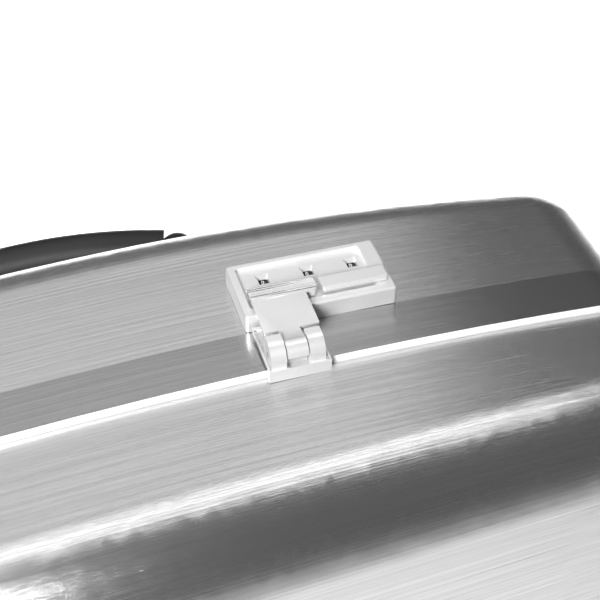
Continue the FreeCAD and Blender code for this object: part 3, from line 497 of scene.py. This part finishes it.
# %% [markdown]
# ## The number wheels
#
# Each wheel of a lock carries the numbers 0 to 9, printed in white around its top.
# Only one shows through its window at a time. The wheel itself is good as CAD left
# it; the numbers are text made into a mesh, laid flat just above the wheel, and
# turned so that the one at the window reads from the front. They ride on the wheel.

# %% White numbers on the wheels
DIAL_PITCH = 20.2
DIAL_SHIFT = 0.4
DIAL_Y = 10.9
DIAL_TOP = 4.9
NUMBER_RADIUS = 4.6
NUMBER_HEIGHT = 2.9
NUMBER_THICKNESS = 0.03
NUMBER_LIFT = 0.04
NUMBERS_PER_WHEEL = 10


def number_mesh(text):
    """Flat mesh of one number, centred on the origin, in millimetres."""
    curve = bpy.data.curves.new("number", "FONT")
    curve.body = text
    curve.size = NUMBER_HEIGHT
    curve.align_x = "CENTER"
    curve.align_y = "CENTER"
    curve.extrude = NUMBER_THICKNESS
    curve.resolution_u = 3
    obj = bpy.data.objects.new("number", curve)
    bpy.context.scene.collection.objects.link(obj)
    mesh = bpy.data.meshes.new_from_object(obj.evaluated_get(
        bpy.context.evaluated_depsgraph_get()))
    bpy.data.objects.remove(obj)
    return mesh


numbers = [number_mesh(str(i)) for i in range(NUMBERS_PER_WHEEL)]
for word in SIDES:
    for i in range(3):
        ring = bmesh.new()
        for k, mesh in enumerate(numbers):
            first = len(ring.verts)
            ring.from_mesh(mesh)
            ring.verts.ensure_lookup_table()
            fresh = ring.verts[first:]
            out = Matrix.Translation((0, -NUMBER_RADIUS, 0))
            around = Matrix.Rotation(math.tau * k / NUMBERS_PER_WHEEL, 4, "Z")
            bmesh.ops.transform(ring, verts=fresh, matrix=around @ out)
        hub = ((i - 1) * DIAL_PITCH + DIAL_SHIFT, DIAL_Y, DIAL_TOP + NUMBER_LIFT)
        bmesh.ops.translate(ring, verts=ring.verts, vec=hub)
        bmesh.ops.scale(ring, verts=ring.verts, vec=(MM, MM, MM))
        bmesh.ops.transform(ring, verts=ring.verts, matrix=latch_matrix(word))
        data = bpy.data.meshes.new("numbers")
        ring.to_mesh(data)
        ring.free()
        data.materials.append(WHITE_INK)
        piece = link_piece("numbers_%s_%d" % (word, i + 1), data)
        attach(piece, "dial_%s_%d" % (word, i + 1))
print("six rings of ten numbers")

# %% [markdown]
# ## The studio
#
# A pale floor, one long soft light straight above for the bright line along the
# near shoulder, one large soft panel behind that the flat top mirrors, a light that
# only reaches the floor behind the case, and a small key in front for the latches.
# The room itself stays grey, because polished metal shows nothing but its
# surroundings.

# %% Floor, lights and room
def flat_stage(name, size, colour, roughness):
    grid = bmesh.new()
    bmesh.ops.create_grid(grid, x_segments=1, y_segments=1, size=size)
    data = bpy.data.meshes.new(name)
    grid.to_mesh(data)
    grid.free()
    made, tree, shader = new_material(name, colour, 0.0)
    shader.inputs["Roughness"].default_value = roughness
    data.materials.append(made)
    obj = link_piece(name, data)
    return obj


def area_light(name, place, aim, size, power, spread=180.0):
    data = bpy.data.lights.new(name, "AREA")
    data.shape = "RECTANGLE"
    data.size, data.size_y = size
    data.energy = power
    data.spread = math.radians(spread)
    obj = bpy.data.objects.new(name, data)
    obj.location = place
    direction = Vector(aim) - Vector(place)
    obj.rotation_euler = direction.to_track_quat("-Z", "Y").to_euler()
    bpy.context.scene.collection.objects.link(obj)
    return obj


FLOOR_SIZE = 8
FLOOR_COLOUR = (0.88, 0.88, 0.88)
ROOM_COLOUR = (0.9, 0.9, 0.9, 1)
ROOM_STRENGTH = 0.13

flat_stage("floor", FLOOR_SIZE, FLOOR_COLOUR, 0.9)
area_light("overhead", (0.0, 0.42, 2.4), (0, 0.0, 0.38), (3.6, 0.4), 15)
area_light("floor_light", (0.2, 1.15, 1.5), (0.2, 1.15, 0), (3.0, 1.1), 58, 50)
area_light("back_panel", (0.15, 1.7, 2.21), (0.1, 0, 0.38), (2.3, 1.0), 5.2)
area_light("front_key", (-0.95, -1.6, 1.75), (0.05, -0.03, 0.38), (0.8, 0.8), 7.5, 40)
world = bpy.data.worlds.new("room")
world.use_nodes = True
background = world.node_tree.nodes["Background"]
background.inputs["Color"].default_value = ROOM_COLOUR
background.inputs["Strength"].default_value = ROOM_STRENGTH
bpy.context.scene.world = world
bpy.context.scene.view_settings.view_transform = "Standard"
